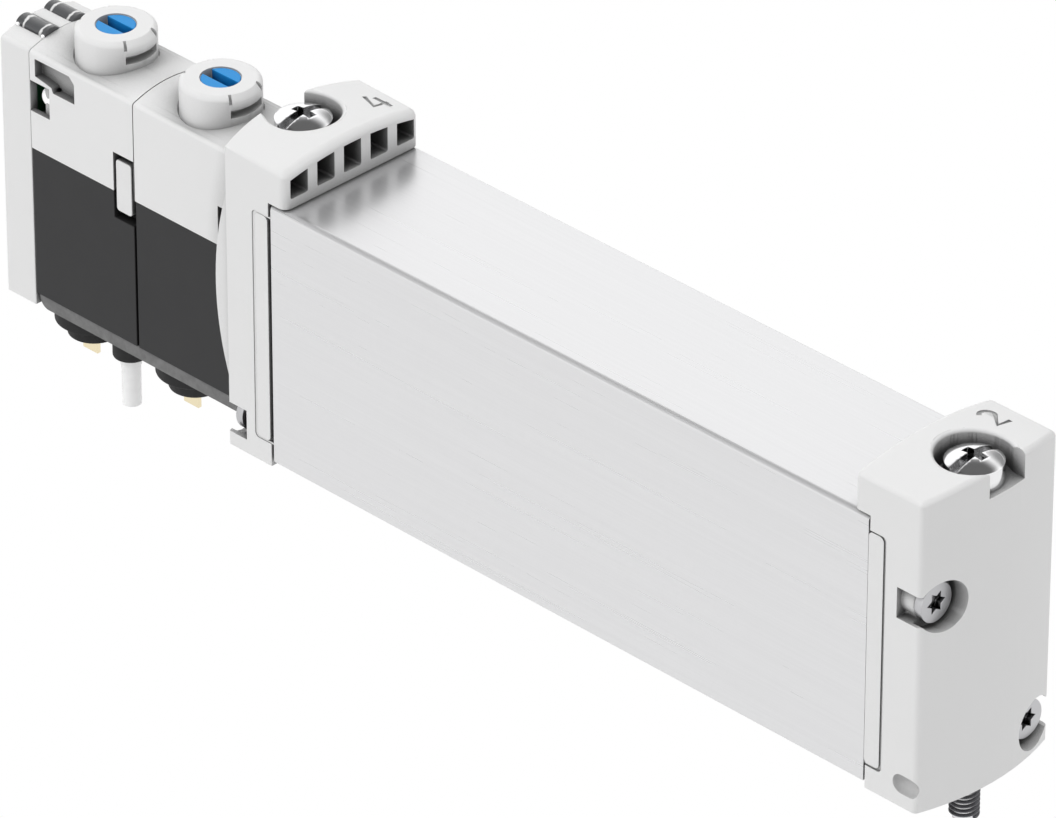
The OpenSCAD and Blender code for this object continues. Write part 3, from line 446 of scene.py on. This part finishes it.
def record_slot(node):
    """The material slot that the record gives a CAD node."""
    return next(part["material_slot"] for part in frame["record"]["subparts"] if part["node"] == node)


def node_body(node):
    """The body that a CAD node belongs to."""
    return next(body for body, nodes in frame["record"]["behaviour"]["bodies"].items() if node in nodes)


def node_finish(node):
    """The material of a CAD node: a finish of its own, or else that of its slot."""
    return NODE_FINISH.get(node, MATERIALS[record_slot(node)])


def mm(*lengths):
    """Lengths in mm as metres."""
    return tuple(length * MM for length in lengths)


def activate(obj):
    """Makes one object the only selected and the active one."""
    for item in list(bpy.context.selected_objects):
        item.select_set(False)
    obj.select_set(True)
    bpy.context.view_layer.objects.active = obj


def dress(obj, material):
    """Gives an object its one material."""
    obj.data.materials.clear()
    obj.data.materials.append(material)


def open_mesh():
    """Opens the active object's mesh with all of it selected."""
    bpy.ops.object.mode_set(mode="EDIT")
    bpy.ops.mesh.select_all(action="SELECT")


def close_mesh():
    """Turns all faces of the open mesh outward and closes it."""
    bpy.ops.mesh.select_all(action="SELECT")
    bpy.ops.mesh.normals_make_consistent(inside=False)
    bpy.ops.object.mode_set(mode="OBJECT")


def smooth(degrees=SMOOTH_BELOW):
    """Smooth shading of the active object across edges less sharp than an angle."""
    bpy.ops.object.shade_smooth_by_angle(angle=math.radians(degrees))


def even_normals(obj):
    """Smooth shading that keeps wide faces flat beside their narrow rounded edges."""
    smooth()
    weighted = obj.modifiers.new("normals", "WEIGHTED_NORMAL")
    weighted.keep_sharp = True
    bpy.ops.object.modifier_apply(modifier=weighted.name)


def break_edges(obj, radius_mm):
    """Rounds the sharp edges of the active object."""
    bevel = obj.modifiers.new("edge", "BEVEL")
    bevel.width = radius_mm * MM
    bevel.segments = EDGE_SEGMENTS
    bevel.limit_method = "ANGLE"
    bevel.angle_limit = math.radians(SHARP_ABOVE)
    bpy.ops.object.modifier_apply(modifier=bevel.name)


def cut_away(obj, cutter, crosses_itself=False):
    """Takes the shape of a cutter out of an object and deletes the cutter."""
    cut = obj.modifiers.new("cut", "BOOLEAN")
    cut.operation = "DIFFERENCE"
    cut.solver = "EXACT"
    cut.use_self = crosses_itself
    cut.object = cutter
    activate(obj)
    bpy.ops.object.modifier_apply(modifier=cut.name)
    bpy.data.objects.remove(cutter)


def top_of(obj, x, y):
    """The point where a plumb line through x and y, in metres, first meets an object from above."""
    _, point, _, _ = obj.ray_cast(Vector((x, y, ABOVE_ALL * MM)), Vector((0, 0, -1)))
    return point


def wind(profile, steps, pitch_mm=0, turns=1):
    """Winds a closed profile, given as radii and heights in mm, round the upright axis."""
    bpy.ops.mesh.primitive_circle_add(vertices=len(profile), radius=1 * MM, location=(0, 0, 0))
    obj = bpy.context.object
    for vertex, (radius, height) in zip(obj.data.vertices, profile):
        vertex.co = mm(radius, 0, height)
    winding = obj.modifiers.new("winding", "SCREW")
    winding.axis = "Z"
    winding.angle = math.tau
    winding.screw_offset = pitch_mm * MM
    winding.iterations = turns
    winding.steps = steps
    winding.render_steps = steps
    # Closes a ring without pitch, at a distance far below its own size
    winding.use_merge_vertices = True
    winding.merge_threshold = 0.001 * MM
    bpy.ops.object.modifier_apply(modifier=winding.name)
    return obj


def paint_recess_shadow(obj):
    """Stores how deep each point lies in the outer pilot's wiring recess, from 0 at its mouth to 1, for
    the painted shadow there.
    """
    painted = obj.data.attributes.new("recess_depth", "FLOAT", "POINT")
    for vertex, item in zip(obj.data.vertices, painted.data):
        x, y, z = (v / MM for v in vertex.co)
        inside = RECESS_X[0] < x < RECESS_X[1] and RECESS_Z[0] < z < RECESS_Z[1] and y < RECESS_BACK
        item.value = min(1, max(0, (y - RECESS_MOUTH) / RECESS_FADE)) if inside else 0


def finished_copy(node, radius_mm):
    """A copy of a CAD node with its sharp edges broken by a small radius and its round faces smooth."""
    name = node + "_finished"
    obj = bpy.data.objects.new(name, frame["nodes"][node].data.copy())
    bpy.context.scene.collection.objects.link(obj)
    activate(obj)
    open_mesh()
    bpy.ops.mesh.remove_doubles(threshold=1e-6)
    bpy.ops.mesh.dissolve_limited(angle_limit=math.radians(FLAT_BELOW))
    bpy.ops.object.mode_set(mode="OBJECT")
    break_edges(obj, radius_mm)
    even_normals(obj)
    if node == "pilot_housing_a":
        paint_recess_shadow(obj)
    dress(obj, node_finish(node))
    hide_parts(node)
    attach(obj, node_body(node))
    return obj


def round_rim(cap, screw_x):
    """Rounds the rim of a cap's counterbore with a ring-shaped cutter that follows the arched top."""
    inner, outer = RIM_CUT - RIM_LAP, RIM_CUT + RIM_ROUND
    angles = [math.radians(90 * i / RIM_STEPS) for i in range(RIM_STEPS + 1)]
    profile = [(inner, -RIM_ROUND)]
    profile += [(outer - RIM_ROUND * math.cos(t), RIM_ROUND * (math.sin(t) - 1)) for t in angles]
    profile += [(outer, RIM_ABOVE), (inner, RIM_ABOVE)]
    cutter = wind(profile, steps=96)
    open_mesh()
    bpy.ops.transform.translate(value=mm(screw_x, 0, 0))
    close_mesh()
    beside = math.copysign(RIM_SAMPLE_X, screw_x) * MM
    for vertex in cutter.data.vertices:
        vertex.co.z += top_of(cap, beside, vertex.co.y).z
    cut_away(cap, cutter)


def engrave(cap, strokes):
    """Cuts a digit as a round-bottomed groove that follows the arched top of a cap."""
    bpy.ops.curve.primitive_nurbs_path_add(location=(0, 0, 0))
    cutter = bpy.context.object
    cutter.data.splines.clear()
    cutter.data.bevel_depth = DIGIT_WIDTH / 2 * MM
    cutter.data.bevel_resolution = 3
    cutter.data.use_fill_caps = True
    for stroke in strokes:
        spline = cutter.data.splines.new("POLY")
        spline.points.add(len(stroke) - 1)
        for point, (x, y) in zip(spline.points, stroke):
            point.co = (*top_of(cap, x * MM, y * MM), 1)
    activate(cutter)
    bpy.ops.object.convert(target="MESH")
    cut_away(cap, bpy.context.object, crosses_itself=True)
    even_normals(cap)


def slim_thread_core(screw, screw_x):
    """Turns the plain cylinder below the mounting face down to the root of the thread."""
    activate(screw)
    bpy.ops.object.mode_set(mode="EDIT")
    bpy.ops.mesh.select_all(action="DESELECT")
    bpy.ops.object.mode_set(mode="OBJECT")
    for vertex in screw.data.vertices:
        reach = math.hypot(vertex.co.x - screw_x * MM, vertex.co.y)
        vertex.select = vertex.co.z < THREAD_TOP * MM and reach > (THREAD_ROOT + 0.02) * MM
    bpy.ops.object.mode_set(mode="EDIT")
    bpy.ops.mesh.select_mode(type="VERT")
    factor = THREAD_ROOT / THREAD_BLANK
    bpy.ops.transform.resize(value=(factor, factor, 1), center_override=(screw_x * MM, 0, 0))
    bpy.ops.object.mode_set(mode="OBJECT")


def thread_ridge(name, screw_x, body):
    """The helical ridge of an M3 thread, wound from a small flat-topped profile."""
    ridge = wind([(radius, THREAD_LOW + height) for radius, height in THREAD_PROFILE],
                 steps=28, pitch_mm=THREAD_PITCH, turns=THREAD_TURNS)
    ridge.name = name
    open_mesh()
    bpy.ops.mesh.fill_holes(sides=0)
    bpy.ops.transform.translate(value=mm(screw_x, 0, 0))
    close_mesh()
    smooth(THREAD_SMOOTH_BELOW)
    dress(ridge, THREAD_FINISH)
    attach(ridge, body)


def opening_post_head():
    """Ball-shaped head of the post in the opening beside the end cover."""
    bpy.ops.mesh.primitive_uv_sphere_add(segments=40, ring_count=20, radius=POST_RADIUS * MM,
                                         location=(0, 0, 0))
    post = bpy.context.object
    post.name = "opening_post_head"
    open_mesh()
    bpy.ops.mesh.bisect(plane_co=mm(0, 0, POST_FLAT), plane_no=(0, 0, 1), use_fill=True, clear_inner=True)
    bpy.ops.mesh.select_all(action="SELECT")
    bpy.ops.transform.resize(value=POST_STRETCH)
    bpy.ops.transform.translate(value=mm(*POST_PLACE))
    close_mesh()
    smooth()
    dress(post, POST_GLOW_FINISH)
    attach(post, "valve")


def cap_2_screw_boss():
    """Round boss behind the head of the upper end screw, seen through the notch in the side of cap 2."""
    bpy.ops.mesh.primitive_cylinder_add(vertices=96, radius=BOSS_RADIUS * MM, depth=BOSS_LENGTH * MM,
                                        location=(0, 0, 0))
    boss = bpy.context.object
    boss.name = "cap_2_screw_boss"
    # Both round faces, and only they, are selected to open the cylinder into a pipe
    bpy.ops.object.mode_set(mode="EDIT")
    bpy.ops.mesh.select_mode(type="FACE")
    bpy.ops.mesh.select_all(action="DESELECT")
    bpy.ops.object.mode_set(mode="OBJECT")
    for face in boss.data.polygons:
        face.select = abs(face.normal.z) > 0.9
    bpy.ops.object.mode_set(mode="EDIT")
    bpy.ops.mesh.inset(thickness=BOSS_WALL * MM)
    bpy.ops.mesh.bridge_edge_loops()
    bpy.ops.mesh.select_all(action="SELECT")
    bpy.ops.transform.rotate(value=math.radians(90), orient_axis="Y", center_override=(0, 0, 0))
    # Cut flat below, above and behind
    cuts = (((0, 0, -BOSS_HALF_HEIGHT), (0, 0, -1)), ((0, 0, BOSS_HALF_HEIGHT), (0, 0, 1)),
            ((0, BOSS_BACK, 0), (0, 1, 0)))
    for place, outward in cuts:
        bpy.ops.mesh.select_all(action="SELECT")
        bpy.ops.mesh.bisect(plane_co=mm(*place), plane_no=outward, use_fill=True, clear_outer=True)
    bpy.ops.mesh.select_all(action="SELECT")
    bpy.ops.transform.translate(value=mm(*BOSS_PLACE))
    close_mesh()
    break_edges(boss, BOSS_EDGE)
    smooth()
    # The collar's finish, with its painted shade and glow
    dress(boss, COLLAR_FINISH)
    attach(boss, "valve")


def slab(x_range, y_range, z_range):
    """An upright slab with rounded corners, made from a plane."""
    bpy.ops.mesh.primitive_plane_add(size=2, location=(0, 0, 0))
    obj = bpy.context.object
    half = [(high - low) / 2 * MM for low, high in (x_range, z_range)]
    middle = [(high + low) / 2 * MM for low, high in (x_range, z_range)]
    open_mesh()
    bpy.ops.transform.resize(value=(half[0], half[1], 1))
    bpy.ops.transform.rotate(value=math.radians(90), orient_axis="X", center_override=(0, 0, 0))
    bpy.ops.mesh.bevel(offset=TAB_CORNER * MM, segments=6, affect="VERTICES")
    bpy.ops.mesh.select_all(action="SELECT")
    bpy.ops.transform.translate(value=(middle[0], y_range[0] * MM, middle[1]))
    depth = (y_range[1] - y_range[0]) * MM
    bpy.ops.mesh.extrude_region_move(TRANSFORM_OT_translate={"value": (0, depth, 0)})
    close_mesh()
    return obj


def seam_lip(name, tab_mm, half_turn, front_mm):
    """The cap's thin lip that closes the seam round the end plate's tab, sunk a little in the side.

    It is made at cap 2's end, half a turn takes it to cap 4's, and its twin lies on the back side.
    """
    tab_end = JACKET_END + tab_mm
    lip = slab((JACKET_END - 1, tab_end + LIP_REACH), (front_mm, LIP_BACK), LIP_Z)
    lip.name = name
    cut_away(lip, slab((JACKET_END - 2, tab_end + TAB_CLEAR), TAB_Y, TAB_Z))
    open_mesh()
    bpy.ops.mesh.bisect(plane_co=mm(JACKET_END + LIP_START, 0, 0), plane_no=(-1, 0, 0), use_fill=True,
                        clear_outer=True)
    across = -(front_mm + LIP_BACK)
    if half_turn:
        bpy.ops.mesh.select_all(action="SELECT")
        bpy.ops.transform.rotate(value=math.pi, orient_axis="Z", center_override=(0, 0, 0))
        bpy.ops.mesh.select_all(action="SELECT")
        bpy.ops.transform.translate(value=mm(0, -across, 0))
    close_mesh()
    twin = bpy.data.objects.new(name + "_back", lip.data.copy())
    bpy.context.scene.collection.objects.link(twin)
    activate(twin)
    open_mesh()
    bpy.ops.transform.translate(value=mm(0, across, 0))
    bpy.ops.object.mode_set(mode="OBJECT")
    for item in (lip, twin):
        activate(item)
        smooth()
        dress(item, MATERIALS["white_plastic"])
        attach(item, "valve")


def window_feet():
    """Small white feet at the lower corners of the light windows."""
    for number, place in enumerate(FOOT_PLACES, 1):
        bpy.ops.mesh.primitive_cube_add(size=FOOT_SIZE * MM, location=(0, 0, 0))
        foot = bpy.context.object
        foot.name = "window_foot_%d" % number
        open_mesh()
        bpy.ops.mesh.bevel(offset=FOOT_EDGE * MM, segments=2)
        bpy.ops.mesh.select_all(action="SELECT")
        bpy.ops.transform.translate(value=mm(*place))
        bpy.ops.object.mode_set(mode="OBJECT")
        smooth()
        dress(foot, POST_GLOW_FINISH)
        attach(foot, "valve")


def camera_at_photo():
    """The camera of the photograph, aimed by azimuth, elevation and roll."""
    a, e, r = (math.radians(v) for v in (CAMERA_AZIMUTH, CAMERA_ELEVATION, CAMERA_ROLL))
    back = Vector((math.sin(a) * math.cos(e), -math.cos(a) * math.cos(e), math.sin(e)))
    right = Vector((math.cos(a), math.sin(a), 0))
    up = back.cross(right)
    right, up = math.cos(r) * right + math.sin(r) * up, math.cos(r) * up - math.sin(r) * right
    turn = Matrix((right, up, back)).transposed()
    data = bpy.data.cameras.new("photo_camera")
    data.sensor_fit = "HORIZONTAL"
    data.sensor_width = SENSOR_WIDTH
    data.lens = FOCAL_LENGTH
    data.clip_start = NEAREST_SEEN
    data.clip_end = FARTHEST_SEEN
    camera = bpy.data.objects.new("photo_camera", data)
    camera.matrix_world = Matrix.Translation(CAMERA_PLACE) @ turn.to_4x4()
    bpy.context.scene.collection.objects.link(camera)
    bpy.context.scene.camera = camera


def studio_floor():
    """A wide pale floor below the valve that shows pure white to the camera and keeps the shadow."""
    bpy.ops.mesh.primitive_plane_add(size=FLOOR_SIZE, location=(0, 0, FLOOR_HEIGHT))
    floor = bpy.context.object
    floor.name = "studio_floor"
    material, tree = blank_material("white_paper_floor")
    paper = put(tree, "BsdfDiffuse", {"Color": linear(FLOOR_PAPER)}).outputs["BSDF"]
    glow = put(tree, "Emission", {"Color": linear(PURE_WHITE), "Strength": 1.0}).outputs["Emission"]
    path = put(tree, "LightPath").outputs
    seen = put(tree, "Math", {0: path["Is Camera Ray"], 1: path["Is Glossy Ray"]}, operation="MAXIMUM")
    seen = put(tree, "Math", {0: seen.outputs["Value"], 1: path["Is Transmission Ray"]},
               operation="MAXIMUM")
    mixed = put(tree, "MixShader", {0: seen.outputs["Value"], 1: paper, 2: glow}).outputs["Shader"]
    put(tree, "OutputMaterial", {"Surface": mixed})
    dress(floor, material)


def studio_world():
    """The surround: even white for the eye and for soft light, a tent with dark places for metal."""
    world = bpy.data.worlds.new("studio")
    bpy.context.scene.world = world
    world.use_nodes = True
    tree = world.node_tree
    tree.nodes.clear()
    way = put(tree, "TexCoord").outputs["Generated"]
    height = put(tree, "SeparateXYZ", {0: way}).outputs["Z"]
    overhead = put(tree, "MapRange", {"Value": height, "To Min": TENT_LIGHT, "To Max": OVERHEAD_DARK,
                                      "From Min": OVERHEAD_BEGIN, "From Max": OVERHEAD_FULL},
                   interpolation_type="SMOOTHSTEP")
    tent = overhead.outputs["Result"]
    for patch_way, begin, full, left in PATCHES:
        toward = put(tree, "VectorMath", {0: way, 1: patch_way}, operation="DOT_PRODUCT").outputs["Value"]
        patch = put(tree, "MapRange", {"Value": toward, "From Min": begin, "From Max": full,
                                       "To Min": 1.0, "To Max": left}, interpolation_type="SMOOTHSTEP")
        dimmed = put(tree, "Math", {0: tent, 1: patch.outputs["Result"]}, operation="MULTIPLY")
        tent = dimmed.outputs["Value"]
    mirrored = put(tree, "Background", {"Color": linear(PURE_WHITE), "Strength": tent})
    soft = put(tree, "Background", {"Color": linear(PURE_WHITE), "Strength": ROOM_LIGHT})
    white = put(tree, "Background", {"Color": linear(PURE_WHITE), "Strength": 1.0})
    path = put(tree, "LightPath").outputs
    lit = put(tree, "MixShader", {0: path["Is Glossy Ray"], 1: soft.outputs["Background"],
                                  2: mirrored.outputs["Background"]}).outputs["Shader"]
    seen = put(tree, "Math", {0: path["Is Camera Ray"], 1: path["Is Transmission Ray"]},
               operation="MAXIMUM")
    mixed = put(tree, "MixShader", {0: seen.outputs["Value"], 1: lit, 2: white.outputs["Background"]})
    put(tree, "OutputWorld", {"Surface": mixed.outputs["Shader"]})


def soft_box(name, place, size, power):
    """A square lamp aimed at the valve that no metal mirrors."""
    data = bpy.data.lights.new(name, "AREA")
    data.shape = "SQUARE"
    data.size = size
    data.energy = power
    lamp = bpy.data.objects.new(name, data)
    lamp.location = place
    lamp.rotation_euler = (Vector(place) * -1).to_track_quat("-Z", "Y").to_euler()
    lamp.visible_glossy = False
    bpy.context.scene.collection.objects.link(lamp)


for node_name, node_object in frame["nodes"].items():
    dress(node_object, node_finish(node_name))
finished = {name: finished_copy(name, radius) for name, radius in EDGE_RADIUS.items()}
for cap_name, side, digit in (("cap_2", 1, DIGIT_TWO), ("cap_4", -1, DIGIT_FOUR)):
    round_rim(finished[cap_name], side * SCREW_X)
    engrave(finished[cap_name], digit)
for screw_name, side in (("captive_screw_2", 1), ("captive_screw_4", -1)):
    slim_thread_core(finished[screw_name], side * SCREW_X)
    thread_ridge(screw_name + "_thread", side * SCREW_X, node_body(screw_name))
opening_post_head()
cap_2_screw_boss()
seam_lip("seam_lip_2", tab_mm=1.9, half_turn=False, front_mm=-8.79)
seam_lip("seam_lip_4", tab_mm=2.15, half_turn=True, front_mm=-8.92)
window_feet()

camera_at_photo()
studio_floor()
studio_world()
soft_box("key_box", place=(-0.55, -1.0, 1.25), size=0.9, power=9.0)
soft_box("top_box", place=(0.1, 0.2, 1.5), size=1.0, power=5.0)
bpy.context.scene.view_settings.view_transform = "Standard"
